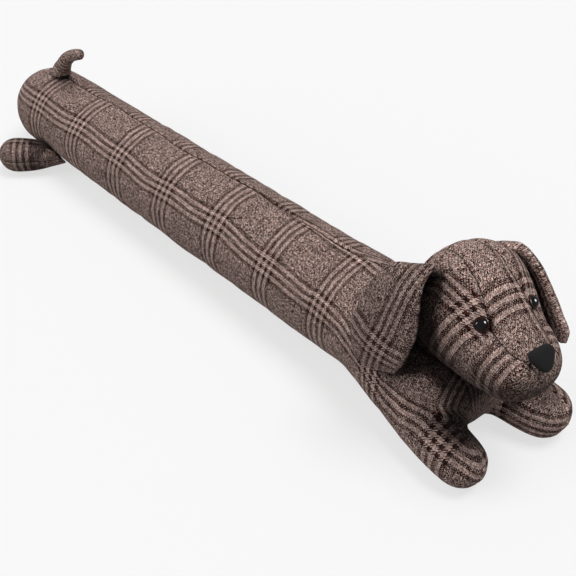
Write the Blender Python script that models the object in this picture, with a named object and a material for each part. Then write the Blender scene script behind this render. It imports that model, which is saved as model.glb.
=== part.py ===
import math

import bmesh
import bpy
from mathutils import Matrix, Vector
from mathutils.bvhtree import BVHTree

# A long stuffed dog that lies along the foot of a door.
# Metres, +Z up, floor at z = 0. X runs from the tail (-) to the nose (+), and Y to the dog's left.
# Rows below give x as a distance from the hips, and an empty moves the hips to their place.
HIPS = -0.42
GAP = 0.0003

# Body
BODY_RADIUS = 0.0595
BODY_GROWTH = 0.0114
SHOULDER_SWELL = 0.0035
SHOULDER_PLACE = 0.745
SHOULDER_LENGTH = 0.120
BODY_REAR = -0.035
BODY_FRONT = 0.854
REAR_ROUND = 0.060
FRONT_ROUND = 0.060
END_POWER = 2.4
BODY_SIDES = 36
BODY_STEP = 0.030
END_STEPS = 6
SIT = 0.0020
SEAM_ANGLE = math.radians(80)
SEAM_DEPTH = 0.0016

# Head
HEAD_PLACE = (0.811, 0.0, 0.175)
HEAD_TURN = math.radians(-12.8)
HEAD_SIDES = 32
HEAD_STEPS = 19
EYE_RADIUS = 0.0072
EYE_AHEAD = 0.0513
EYE_APART = 0.066
EYE_RISE = 0.0246
EYE_DEPTH = 0.0052
NOSE_WIDTH = 0.029
NOSE_HEIGHT = 0.026
NOSE_CROWN = 0.0045
NOSE_POINT = 0.12
NOSE_SIDES = 24
NOSE_AHEAD = 0.1035
NOSE_RISE = 0.0085

# Nose sections from inside the head outward: share of its size, level
NOSE_SECTIONS = ((0.80, -0.012), (1.0, -0.010), (1.0, 0.0005), (0.93, 0.0025), (0.70, 0.0040))

# Ears
EAR_THICKNESS = 0.008
EAR_EDGE = 0.0036
EAR_CROWN = 0.007
EAR_LEAN = (0.0, 1.0, 0.3)
EAR_ROWS = 15
EAR_COLUMNS = 11

# Mesh detail of the filled limbs: steps along, sides round
FORELEG_DETAIL = (11, 20)
HIND_LEG_DETAIL = (8, 18)
TAIL_DETAIL = (9, 14)
LIMB_END_STEPS = 4

# Filled limbs: x from the hips, y outward from the middle, z, radius; the last row is a round end's middle
FORELEG_RIGHT = (
    (0.640, 0.018, 0.050, 0.036),
    (0.710, 0.031, 0.046, 0.036),
    (0.790, 0.050, 0.039, 0.034),
    (0.838, 0.0615, 0.033, 0.0315),
    (0.872, 0.0655, 0.0285, 0.0295),
)
FORELEG_LEFT = (
    (0.640, 0.018, 0.050, 0.036),
    (0.710, 0.028, 0.046, 0.037),
    (0.800, 0.041, 0.039, 0.037),
    (0.848, 0.0505, 0.0335, 0.035),
    (0.887, 0.0570, 0.0290, 0.0330),
)
HIND_LEG_RIGHT = (
    (0.104, 0.036, 0.028, 0.012),
    (0.088, 0.054, 0.027, 0.0165),
    (0.068, 0.074, 0.026, 0.0235),
    (0.047, 0.0945, 0.0255, 0.026),
)
HIND_LEG_LEFT = (
    (0.106, 0.034, 0.028, 0.012),
    (0.086, 0.047, 0.027, 0.0165),
    (0.058, 0.058, 0.0255, 0.0245),
    (0.030, 0.066, 0.0255, 0.026),
)
TAIL = (
    (0.030, 0.006, 0.090, 0.0150),
    (0.036, 0.006, 0.1135, 0.0135),
    (0.050, 0.006, 0.1390, 0.0105),
    (0.073, 0.006, 0.1595, 0.0085),
    (0.096, 0.006, 0.1700, 0.0075),
)

# Head sections: distance ahead of the middle of the skull, half width, half height, rise
HEAD_SECTIONS = (
    (-0.060, 0.019, 0.018, -0.004),
    (-0.050, 0.041, 0.040, -0.003),
    (-0.030, 0.059, 0.059, -0.001),
    (0.000, 0.065, 0.067, 0.000),
    (0.027, 0.060, 0.063, -0.007),
    (0.050, 0.052, 0.054, -0.015),
    (0.072, 0.045, 0.045, -0.020),
    (0.091, 0.0385, 0.038, -0.020),
    (0.104, 0.031, 0.029, -0.018),
    (0.110, 0.021, 0.019, -0.017),
)
HEAD_BACK = -0.065
HEAD_FRONT = 0.1145

# Ear sections from root to tip: the front edge, then the back edge, each as x, y outward, z
EAR_RIGHT = (
    (0.799, 0.040, 0.223, 0.764, 0.037, 0.205),
    (0.801, 0.055, 0.246, 0.745, 0.050, 0.213),
    (0.803, 0.071, 0.240, 0.729, 0.054, 0.192),
    (0.806, 0.079, 0.223, 0.721, 0.060, 0.169),
    (0.810, 0.082, 0.190, 0.714, 0.068, 0.135),
    (0.807, 0.082, 0.165, 0.717, 0.075, 0.112),
    (0.798, 0.081, 0.132, 0.731, 0.079, 0.093),
    (0.786, 0.080, 0.106, 0.754, 0.080, 0.090),
)
EAR_LEFT = (
    (0.819, 0.040, 0.223, 0.784, 0.044, 0.200),
    (0.823, 0.055, 0.224, 0.776, 0.058, 0.193),
    (0.838, 0.067, 0.205, 0.772, 0.070, 0.178),
    (0.850, 0.074, 0.184, 0.773, 0.082, 0.163),
    (0.862, 0.077, 0.163, 0.780, 0.087, 0.137),
    (0.874, 0.079, 0.143, 0.793, 0.090, 0.116),
    (0.884, 0.080, 0.127, 0.818, 0.090, 0.099),
    (0.883, 0.080, 0.111, 0.852, 0.086, 0.098),
)


# Points between rows
def between(rows, place):
    """The row at a place from 0 to 1 along a table, on a smooth curve through its rows."""
    span = place * (len(rows) - 1)
    first = min(int(span), len(rows) - 2)
    part = span - first
    picks = [rows[min(max(first + step, 0), len(rows) - 1)] for step in (-1, 0, 1, 2)]
    result = []
    for before, here, ahead, after in zip(*picks):
        slope_in = (ahead - before) / 2
        slope_out = (after - here) / 2
        rise = ahead - here
        bend = (slope_in + slope_out - 2 * rise) * part ** 3
        sway = (3 * rise - 2 * slope_in - slope_out) * part ** 2
        result.append(here + slope_in * part + sway + bend)
    return result


def resample(rows, count):
    return [between(rows, index / (count - 1)) for index in range(count)]


# Meshes from rings of points
def skin(rings, start, end):
    """A closed mesh over rings of points, with a pole at each end."""
    mesh = bmesh.new()
    first = mesh.verts.new(start)
    last = mesh.verts.new(end)
    rows = [[mesh.verts.new(point) for point in ring] for ring in rings]
    sides = len(rows[0])
    for side in range(sides):
        following = (side + 1) % sides
        mesh.faces.new((first, rows[0][following], rows[0][side]))
        mesh.faces.new((last, rows[-1][side], rows[-1][following]))
        for near, far in zip(rows, rows[1:]):
            mesh.faces.new((near[side], near[following], far[following], far[side]))
    bmesh.ops.recalc_face_normals(mesh, faces=mesh.faces[:])
    return mesh


def limb(rows, side, detail):
    """A filled tube along a route, with round ends, that stands on the floor."""
    steps_along, sides = detail
    path = [(Vector((x, side * y, z)), radius) for x, y, z, radius in resample(rows, steps_along)]
    start_way = (path[0][0] - path[1][0]).normalized()
    end_way = (path[-1][0] - path[-2][0]).normalized()
    turns = [math.pi / 2 * step / LIMB_END_STEPS for step in range(1, LIMB_END_STEPS)]
    base, base_radius = path[0]
    tip, tip_radius = path[-1]
    opening = [
        (base + start_way * base_radius * math.sin(turn), base_radius * math.cos(turn))
        for turn in reversed(turns)
    ]
    closing = [
        (tip + end_way * tip_radius * math.sin(turn), tip_radius * math.cos(turn))
        for turn in turns
    ]
    path = opening + path + closing
    rings = []
    for index, (centre, radius) in enumerate(path):
        before = path[max(index - 1, 0)][0]
        after = path[min(index + 1, len(path) - 1)][0]
        way = (after - before).normalized()
        across = way.cross(Vector((0, 0, 1))).normalized()
        up = across.cross(way)
        ring = []
        for step in range(sides):
            turn = 2 * math.pi * step / sides
            point = centre + radius * (math.cos(turn) * across + math.sin(turn) * up)
            point.z = max(point.z, 0.0)
            ring.append(point)
        rings.append(ring)
    start = base + start_way * base_radius
    end = tip + end_way * tip_radius
    return skin(rings, start, end)


def full_radius(x):
    """Half the body's thickness at a distance from the hips, before its ends are rounded."""
    share = min(abs(x - SHOULDER_PLACE) / SHOULDER_LENGTH, 1)
    return BODY_RADIUS + BODY_GROWTH * x + SHOULDER_SWELL * math.cos(math.pi / 2 * share) ** 2


def body_radius(x):
    """The same, with the rounded ends."""
    full = full_radius(x)
    into_rear = (BODY_REAR + REAR_ROUND - x) / REAR_ROUND
    into_front = (x - BODY_FRONT + FRONT_ROUND) / FRONT_ROUND
    share = max(into_rear, into_front, 0)
    return full * (1 - share ** END_POWER) ** (1 / END_POWER)


def body_mesh():
    """The long tube, flat where it lies and drawn in a little along the spine seam."""
    turns = [math.pi / 2 * step / END_STEPS for step in range(1, END_STEPS)]
    rear = [BODY_REAR + REAR_ROUND * (1 - math.cos(turn)) for turn in turns]
    front = [BODY_FRONT - FRONT_ROUND * (1 - math.sin(turn)) for turn in turns]
    straight = BODY_REAR + REAR_ROUND
    reach = BODY_FRONT - FRONT_ROUND - straight
    steps = round(reach / BODY_STEP)
    middle = [straight + reach * step / steps for step in range(steps + 1)]
    rings = []
    for x in rear + middle + front:
        radius = body_radius(x)
        height = full_radius(x) - SIT
        ring = []
        for step in range(BODY_SIDES):
            turn = SEAM_ANGLE + 2 * math.pi * step / BODY_SIDES
            reach_out = radius - (SEAM_DEPTH if step == 0 else 0)
            z = height + reach_out * math.sin(turn)
            ring.append(Vector((x, reach_out * math.cos(turn), max(z, 0.0))))
        rings.append(ring)
    start = Vector((BODY_REAR, 0.0, full_radius(BODY_REAR) - SIT))
    end = Vector((BODY_FRONT, 0.0, full_radius(BODY_FRONT) - SIT))
    return skin(rings, start, end)


def head_mesh():
    """Skull and blunt muzzle in one filled form, about the middle of the skull."""
    rings = []
    for ahead, half_width, half_height, rise in resample(HEAD_SECTIONS, HEAD_STEPS):
        ring = []
        for step in range(HEAD_SIDES):
            turn = 2 * math.pi * step / HEAD_SIDES
            across = half_width * math.cos(turn)
            ring.append(Vector((ahead, across, rise + half_height * math.sin(turn))))
        rings.append(ring)
    start = Vector((HEAD_BACK, 0.0, 0.0))
    end = Vector((HEAD_FRONT, 0.0, HEAD_SECTIONS[-1][3]))
    return skin(rings, start, end)


def ear_mesh(rows, side):
    """A two-layer flap, thin at its sewn edge, crowned a little away from the head."""
    out = Vector((EAR_LEAN[0], side * EAR_LEAN[1], EAR_LEAN[2])).normalized()
    sheet = []
    for index, (fx, fy, fz, bx, by, bz) in enumerate(resample(rows, EAR_ROWS)):
        front = Vector((fx, side * fy, fz))
        back = Vector((bx, side * by, bz))
        line = []
        for step in range(EAR_COLUMNS):
            share = 0.5 - 0.5 * math.cos(math.pi * step / (EAR_COLUMNS - 1))
            rise = EAR_CROWN * 4 * share * (1 - share) * math.sin(math.pi * index / EAR_ROWS)
            line.append(front.lerp(back, share) + out * rise)
        sheet.append(line)
    mesh = bmesh.new()
    layers = []
    for face in (1, -1):
        layer = []
        for i, line in enumerate(sheet):
            row = []
            for j, point in enumerate(line):
                along = sheet[min(i + 1, EAR_ROWS - 1)][j] - sheet[max(i - 1, 0)][j]
                across = line[min(j + 1, EAR_COLUMNS - 1)] - line[max(j - 1, 0)]
                normal = along.cross(across).normalized()
                inner = min(j, EAR_COLUMNS - 1 - j, EAR_ROWS - 1 - i) / 2
                fullness = math.sin(math.pi / 2 * min(inner, 1))
                half = (EAR_EDGE + (EAR_THICKNESS - EAR_EDGE) * fullness) / 2
                row.append(mesh.verts.new(point + face * half * normal))
            layer.append(row)
        layers.append(layer)
    upper, lower = layers
    for i in range(EAR_ROWS - 1):
        for j in range(EAR_COLUMNS - 1):
            for layer in layers:
                corners = (layer[i][j], layer[i + 1][j], layer[i + 1][j + 1], layer[i][j + 1])
                mesh.faces.new(corners)
    # The rim joins the two layers all round
    rim = [(i, 0) for i in range(EAR_ROWS)]
    rim += [(EAR_ROWS - 1, j) for j in range(1, EAR_COLUMNS)]
    rim += [(i, EAR_COLUMNS - 1) for i in reversed(range(EAR_ROWS - 1))]
    rim += [(0, j) for j in reversed(range(1, EAR_COLUMNS - 1))]
    for (i, j), (k, m) in zip(rim, rim[1:] + rim[:1]):
        mesh.faces.new((upper[i][j], upper[k][m], lower[k][m], lower[i][j]))
    bmesh.ops.recalc_face_normals(mesh, faces=mesh.faces[:])
    return mesh


def button_mesh(radius, depth, place, facing):
    """A domed round button, half of it below the surface it is sewn to."""
    mesh = bmesh.new()
    bmesh.ops.create_uvsphere(mesh, u_segments=20, v_segments=12, radius=radius)
    bmesh.ops.scale(mesh, vec=(1.0, 1.0, depth / radius), verts=mesh.verts[:])
    turn = facing.to_track_quat("Z", "Y").to_matrix().to_4x4()
    bmesh.ops.transform(mesh, matrix=Matrix.Translation(place) @ turn, verts=mesh.verts[:])
    return mesh


def nose_mesh(place, facing):
    """A rounded triangle, point down, padded to a low crown."""
    rings = []
    for size, level in NOSE_SECTIONS:
        ring = []
        for step in range(NOSE_SIDES):
            turn = 2 * math.pi * step / NOSE_SIDES
            bulge = 1 + NOSE_POINT * math.sin(3 * turn)
            across = NOSE_WIDTH / 2 * size * bulge * math.cos(turn)
            up = NOSE_HEIGHT / 2 * size * bulge * math.sin(turn)
            ring.append(Vector((across, up, level)))
        rings.append(ring)
    mesh = skin(rings, Vector((0, 0, rings[0][0].z)), Vector((0, 0, NOSE_CROWN)))
    turn = facing.to_track_quat("Z", "Y").to_matrix().to_4x4()
    bmesh.ops.transform(mesh, matrix=Matrix.Translation(place) @ turn, verts=mesh.verts[:])
    return mesh


# Objects
def add_object(name, mesh, parent, material):
    data = bpy.data.meshes.new(name)
    bmesh.ops.triangulate(mesh, faces=mesh.faces[:])
    mesh.to_mesh(data)
    mesh.free()
    data.shade_smooth()
    data.set_sharp_from_angle(angle=math.radians(50))
    data.materials.append(material)
    piece = bpy.data.objects.new(name, data)
    bpy.context.scene.collection.objects.link(piece)
    piece.parent = parent
    return piece


def add_helper(name, mesh, parent, material):
    helper = add_object(name, mesh, parent, material)
    helper.hide_render = True
    helper.display_type = "WIRE"
    return helper


def grown(mesh, by):
    """A copy of a mesh pushed out along its normals."""
    copy = mesh.copy()
    copy.normal_update()
    for vert in copy.verts:
        vert.co += vert.normal * by
    return copy


def boolean(piece, other, operation):
    change = piece.modifiers.new(operation.title() + " " + other.name, "BOOLEAN")
    change.object = other
    change.operation = operation
    change.solver = "EXACT"


def principled(name, colour, roughness, coat=0.0):
    material = bpy.data.materials.new(name)
    material.use_nodes = True
    shader = material.node_tree.nodes["Principled BSDF"]
    shader.inputs["Base Color"].default_value = (*colour, 1.0)
    shader.inputs["Roughness"].default_value = roughness
    shader.inputs["Metallic"].default_value = 0.0
    shader.inputs["Coat Weight"].default_value = coat
    return material


def main():
    for item in list(bpy.data.objects):
        bpy.data.objects.remove(item)
    place = bpy.data.objects.new("draught_excluder", None)
    place.location = (HIPS, 0.0, 0.0)
    bpy.context.scene.collection.objects.link(place)

    wool = principled("Checked wool cloth", (0.130, 0.095, 0.082), 0.95)
    eye_plastic = principled("Black plastic eye", (0.010, 0.007, 0.006), 0.12, 0.6)
    nose_cloth = principled("Black nose cloth", (0.020, 0.019, 0.019), 0.90)

    # Body and forelegs, one filled skin
    body_shape = body_mesh()
    room = add_helper("room_for_body", grown(body_shape, GAP), place, wool)
    body = add_object("body", body_shape, place, wool)
    for name, rows, side in (("right", FORELEG_RIGHT, -1), ("left", FORELEG_LEFT, 1)):
        leg = add_helper("foreleg_" + name, limb(rows, side, FORELEG_DETAIL), place, wool)
        boolean(body, leg, "UNION")

    # Hind legs and tail, sewn against the body
    for name, rows, side in (("right", HIND_LEG_RIGHT, -1), ("left", HIND_LEG_LEFT, 1)):
        leg = add_object("hind_leg_" + name, limb(rows, side, HIND_LEG_DETAIL), place, wool)
        boolean(leg, room, "DIFFERENCE")
    tail = add_object("tail", limb(TAIL, 1, TAIL_DETAIL), place, wool)
    boolean(tail, room, "DIFFERENCE")

    # Head, seated on the front of the body
    neck = bpy.data.objects.new("head_place", None)
    neck.location = HEAD_PLACE
    neck.rotation_euler = (0.0, 0.0, HEAD_TURN)
    neck.parent = place
    bpy.context.scene.collection.objects.link(neck)
    head_shape = head_mesh()
    head_surface = BVHTree.FromBMesh(head_shape)
    head_room = add_helper("room_for_head", grown(head_shape, GAP), neck, wool)
    head = add_object("head", head_shape, neck, wool)
    boolean(head, room, "DIFFERENCE")

    # Ears
    for name, rows, side in (("right", EAR_RIGHT, -1), ("left", EAR_LEFT, 1)):
        ear = add_object("ear_" + name, ear_mesh(rows, side), place, wool)
        boolean(ear, head_room, "DIFFERENCE")

    # Eyes and nose
    for name, side in (("right", -1), ("left", 1)):
        guess = Vector((EYE_AHEAD, side * EYE_APART / 2, EYE_RISE))
        spot, facing, _, _ = head_surface.find_nearest(guess)
        button = button_mesh(EYE_RADIUS, EYE_DEPTH, spot, facing)
        eye = add_object("eye_" + name, button, neck, eye_plastic)
        boolean(eye, head_room, "DIFFERENCE")
    guess = Vector((NOSE_AHEAD, 0.0, NOSE_RISE))
    spot, facing, _, _ = head_surface.find_nearest(guess)
    nose = add_object("nose", nose_mesh(spot, facing), neck, nose_cloth)
    boolean(nose, head_room, "DIFFERENCE")


main()
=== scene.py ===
import math

import bmesh
import bpy
import numpy as np
from mathutils import Matrix, Vector, noise
from mathutils.bvhtree import BVHTree
from mathutils.kdtree import KDTree


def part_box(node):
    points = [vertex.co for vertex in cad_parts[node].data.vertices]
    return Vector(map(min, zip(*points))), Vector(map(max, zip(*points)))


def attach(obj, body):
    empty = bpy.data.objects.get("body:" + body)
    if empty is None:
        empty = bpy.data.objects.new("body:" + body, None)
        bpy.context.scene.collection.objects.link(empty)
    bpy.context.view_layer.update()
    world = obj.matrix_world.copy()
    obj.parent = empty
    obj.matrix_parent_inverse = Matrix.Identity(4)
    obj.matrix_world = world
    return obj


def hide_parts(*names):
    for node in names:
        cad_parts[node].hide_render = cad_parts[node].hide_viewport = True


# A long stuffed dog in glen check tweed, on a white studio floor.
# Metres, +Z up. X runs from the tail to the nose, and Y to the dog's left.

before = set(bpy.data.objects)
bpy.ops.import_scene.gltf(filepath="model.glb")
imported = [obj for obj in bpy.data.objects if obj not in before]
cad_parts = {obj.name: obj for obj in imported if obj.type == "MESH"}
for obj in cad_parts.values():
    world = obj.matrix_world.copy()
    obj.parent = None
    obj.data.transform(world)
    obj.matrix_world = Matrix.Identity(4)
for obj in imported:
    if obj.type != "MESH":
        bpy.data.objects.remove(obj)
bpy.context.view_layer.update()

# The hips are where the lengthwise measures of the body start
hips = -0.42
headMiddle = Vector((0.391, 0.0, 0.175))
headTurn = math.radians(-12.8)


# sRGB hex to linear.
def fromHex(code):
    result = []
    for start in (0, 2, 4):
        value = int(code[start:start + 2], 16) / 255
        result.append(value / 12.92 if value < 0.04045 else ((value + 0.055) / 1.055) ** 2.4)
    return (*result, 1.0)


# Smooth rise from 0 at low to 1 at high.
def step(low, high, value):
    t = np.clip((np.asarray(value, float) - low) / (high - low), 0, 1)
    return t * t * (3 - 2 * t)


def newMesh(name, mesh, material):
    data = bpy.data.meshes.new(name)
    mesh.to_mesh(data)
    mesh.free()
    piece = bpy.data.objects.new(name, data)
    bpy.context.scene.collection.objects.link(piece)
    data.materials.append(material)
    return piece


# A merged copy of a CAD node, to work on.
def copyOf(name, node, material):
    mesh = bmesh.new()
    mesh.from_mesh(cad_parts[node].data)
    bmesh.ops.remove_doubles(mesh, verts=mesh.verts[:], dist=0.00005)
    return newMesh(name, mesh, material)


# Bakes the piece's modifiers into its mesh.
def applied(piece):
    graph = bpy.context.evaluated_depsgraph_get()
    data = bpy.data.meshes.new_from_object(piece.evaluated_get(graph))
    piece.modifiers.clear()
    old = piece.data
    piece.data = data
    bpy.data.meshes.remove(old)


# Even small faces, with the facets of the plain solid smoothed away.
def remeshed(piece, size, rounds):
    change = piece.modifiers.new("Even faces", "REMESH")
    change.mode = "VOXEL"
    change.voxel_size = size
    applied(piece)
    mesh = bmesh.new()
    mesh.from_mesh(piece.data)
    for _ in range(rounds):
        bmesh.ops.smooth_vert(mesh, verts=mesh.verts[:], factor=0.5,
                              use_axis_x=True, use_axis_y=True, use_axis_z=True)
    mesh.to_mesh(piece.data)
    mesh.free()


def points(piece, field="co"):
    flat = np.empty(len(piece.data.vertices) * 3)
    piece.data.vertices.foreach_get(field, flat)
    return flat.reshape(-1, 3)


def normals(piece):
    return points(piece, "normal")


def placed(piece, where):
    piece.data.vertices.foreach_set("co", np.ascontiguousarray(where).ravel())
    piece.data.update()


# Frames that a skin takes to fill
blowTime = 20


# Blows the cloth up a little from inside. held is how firmly each point keeps its place, from 0 to 1.
def filled(piece, held, pressure, slack, cap):
    before = points(piece)
    group = piece.vertex_groups.new(name="held")
    for index, weight in enumerate(held):
        if weight > 0.01:
            group.add([index], float(weight), "REPLACE")
    change = piece.modifiers.new("Filling", "CLOTH")
    cloth = change.settings
    cloth.quality = 3
    cloth.mass = 0.3
    cloth.tension_stiffness = 12
    cloth.compression_stiffness = 12
    cloth.shear_stiffness = 5
    cloth.bending_stiffness = 0.4
    cloth.vertex_group_mass = "held"
    cloth.pin_stiffness = 1.0
    cloth.use_pressure = True
    cloth.uniform_pressure_force = pressure
    cloth.shrink_min = -slack
    cloth.effector_weights.gravity = 0
    change.point_cache.frame_start = 1
    change.point_cache.frame_end = blowTime
    for moment in range(1, blowTime + 1):
        bpy.context.scene.frame_set(moment)
    applied(piece)
    bpy.context.scene.frame_set(1)
    moved = points(piece) - before
    length = np.linalg.norm(moved, axis=1)
    share = np.minimum(1, cap / np.maximum(length, 1e-9))
    placed(piece, before + moved * share[:, None])
    print(piece.name, "filled: moved up to", round(float(length.max()) * 1000, 1), "mm")


# One smooth subdivision.
def finer(piece):
    change = piece.modifiers.new("Finer", "SUBSURF")
    change.levels = 1
    change.render_levels = 1
    applied(piece)


# New edges where the field is zero, so that a seam runs along edges. reach is the largest step of the field
# across one edge.
def cutAlong(piece, field, reach):
    mesh = bmesh.new()
    mesh.from_mesh(piece.data)
    mesh.verts.ensure_lookup_table()
    where = np.array([vert.co for vert in mesh.verts])
    values = field(where)
    fresh = []
    for edge in mesh.edges[:]:
        first, last = edge.verts
        a = values[first.index]
        b = values[last.index]
        if a * b < 0 and abs(a - b) < reach:
            made = bmesh.utils.edge_split(edge, first, a / (a - b))
            fresh.append(made[1])
    bmesh.ops.connect_verts(mesh, verts=fresh)
    mesh.to_mesh(piece.data)
    mesh.free()


# Distance of each point from a line of points, and how far along the line it is.
def nearLine(where, line):
    line = np.asarray(line, float)
    lengths = np.concatenate([[0], np.cumsum(np.linalg.norm(np.diff(line, axis=0), axis=1))])
    best = np.full(len(where), 9.0)
    along = np.zeros(len(where))
    for index in range(len(line) - 1):
        way = line[index + 1] - line[index]
        share = np.clip(((where - line[index]) @ way) / (way @ way), 0, 1)
        distance = np.linalg.norm(where - line[index] - share[:, None] * way, axis=1)
        closer = distance < best
        best[closer] = distance[closer]
        along[closer] = lengths[index] + share[closer] * np.linalg.norm(way)
    return best, along


# Soft noise from -1 to 1 with lumps of that size.
def lumps(where, size, seed):
    shift = Vector((seed * 3.1, seed * 7.7, seed * 1.3))
    return np.array([noise.noise(Vector(point) / size + shift) for point in where])


solids = bmesh.new()
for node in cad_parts.values():
    solids.from_mesh(node.data)
nearSolids = BVHTree.FromBMesh(solids)
solids.free()
openWays = []
for count in range(24):
    height = 1 - (count + 0.5) / 12
    swing = count * 2.39996
    level = math.sqrt(1 - height * height)
    openWays.append(Vector((level * math.cos(swing), level * math.sin(swing), height)))


# How much of what each point faces is closed off by the dog itself, from 0 to 1. Worked out 6 mm apart.
# The cloth's colour is darkened by this share: painted shade.
def hollows(where, outward, reach=0.14):
    found = {}
    result = np.zeros(len(where))
    for index, (place, facing) in enumerate(zip(where, outward)):
        if -0.33 < place[0] < 0.22:
            continue  # the middle of the tube lies open
        key = tuple(np.round(place / 0.006).astype(int)) + tuple(np.round(facing * 1.5).astype(int))
        if key not in found:
            facing = Vector(facing)
            start = Vector(place) + facing * 0.006
            closed = 0.0
            total = 0.0
            for way in openWays:
                # Most light comes from above
                share = way.dot(facing) * max(way.z + 0.35, 0.0)
                if way.dot(facing) > 0.1 and share > 0:
                    total += share
                    if nearSolids.ray_cast(start, way, reach)[0] is not None:
                        closed += share
            found[key] = closed / total if total > 0 else 0.0
        result[index] = found[key]
    return result


# Spreads values over neighbouring points.
def evened(piece, values):
    ends = np.empty(len(piece.data.edges) * 2, int)
    piece.data.edges.foreach_get("vertices", ends)
    first, last = ends[0::2], ends[1::2]
    count = np.maximum(np.bincount(ends, minlength=len(values)), 1)
    for _ in range(6):
        total = np.bincount(first, values[last], len(values)) + np.bincount(last, values[first], len(values))
        values = (values + total / count) / 2
    return values


# A value for each point, which the cloth's material reads by its name
def marked(piece, name, values):
    attribute = piece.data.attributes.new(name, "FLOAT", "POINT")
    attribute.data.foreach_set("value", values.astype(np.float32))


# Lays the cloth on the piece: each face belongs to one panel, and each panel has its own chart in metres.
# seams is the distance of each point from the nearest seam. Shade is painted into the cloth's colour
# where the dog closes off the light. The last two arguments, given piece by piece, strengthen and add to
# this painted shade; where they add below zero, light is painted instead.
def covered(piece, panelOf, chart, seams, reach=0.14, shadeStrength=1.0, closer=0.0):
    data = piece.data
    where = points(piece)
    count = len(data.loops)
    corner = np.empty(count, int)
    data.loops.foreach_get("vertex_index", corner)
    faceOf = np.empty(count, int)
    middles = np.empty((len(data.polygons), 3))
    for face in data.polygons:
        faceOf[face.loop_start:face.loop_start + face.loop_total] = face.index
        middles[face.index] = face.center
    panels = panelOf(middles)
    flat = chart(where[corner], panels[faceOf], middles[faceOf])
    layer = data.uv_layers.new(name="Cloth")
    layer.data.foreach_set("uv", np.ascontiguousarray(flat).ravel())
    marked(piece, "seam", np.clip(seams, 0, 0.05))
    # Painted shade: how closed off each point is, strengthened and added to, for the material to darken by
    closed = evened(piece, hollows(where, normals(piece), reach))
    marked(piece, "paintedShading", closed * shadeStrength + closer)
    data.shade_smooth()


# The small pieces are cut from one panel each
def onePanel(middles):
    return np.zeros(len(middles), int)


# Hangs the cloth on the root, and hides the solid that it stands for
def sewnOn(piece, node):
    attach(piece, "root")
    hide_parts(node)


# Adds one node with its settings. Its inputs, by name or number, are linked or set. Gives its outputs.
def addNode(tree, kind, settings, links):
    made = tree.nodes.new("ShaderNode" + kind)
    for name, value in settings.items():
        setattr(made, name, value)
    for name, value in links.items():
        if isinstance(value, bpy.types.NodeSocket):
            tree.links.new(value, made.inputs[name])
        else:
            made.inputs[name].default_value = value
    return made.outputs


def newMaterial(name):
    material = bpy.data.materials.new(name)
    material.use_nodes = True
    return material, material.node_tree, material.node_tree.nodes["Principled BSDF"]


# Settings that many nodes share
plus = {"operation": "ADD"}
minus = {"operation": "SUBTRACT"}
times = {"operation": "MULTIPLY"}
timesPlus = {"operation": "MULTIPLY_ADD"}
over = {"operation": "DIVIDE"}
rounded = {"operation": "FLOOR"}
remainder = {"operation": "FLOORED_MODULO"}
positive = {"operation": "ABSOLUTE"}
below = {"operation": "LESS_THAN"}
scaled = {"operation": "SCALE"}
smooth = {"interpolation_type": "SMOOTHSTEP"}
numbers = {"data_type": "FLOAT"}
colours = {"data_type": "RGBA"}

# Checked wool: brushed wool-blend twill in two yarns.
# Its hairy yarns give soft dark and light specks, no shine, and a faint pale bloom where it turns away.
# Threads and repeats are in metres, and the sizes of grain, hairs and streaks in millimetres.
wool = {
    "thread": 0.00079,
    "acrossThread": 0.00073,
    "repeat": 0.0994,
    "acrossRepeat": 0.083,
    "bandThreads": 42,
    "stripeThreads": 6,
    "dark": "1E0F0F",
    "darkWarm": "5A2C22",
    "light": "DDC5BA",
    "lightGrey": "A0837C",
    "seam": "160D0C",
    "bloom": "D9C2B8",
    "wander": ((10.0, 0.0016), (2.381, 0.0004)),
    "warmthSize": 2.381,
    "hairSize": (0.9259, 4.1667),
    "streakSize": (27.778, 1.1111),
    "ridgeAway": 0.0036,
}


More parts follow.
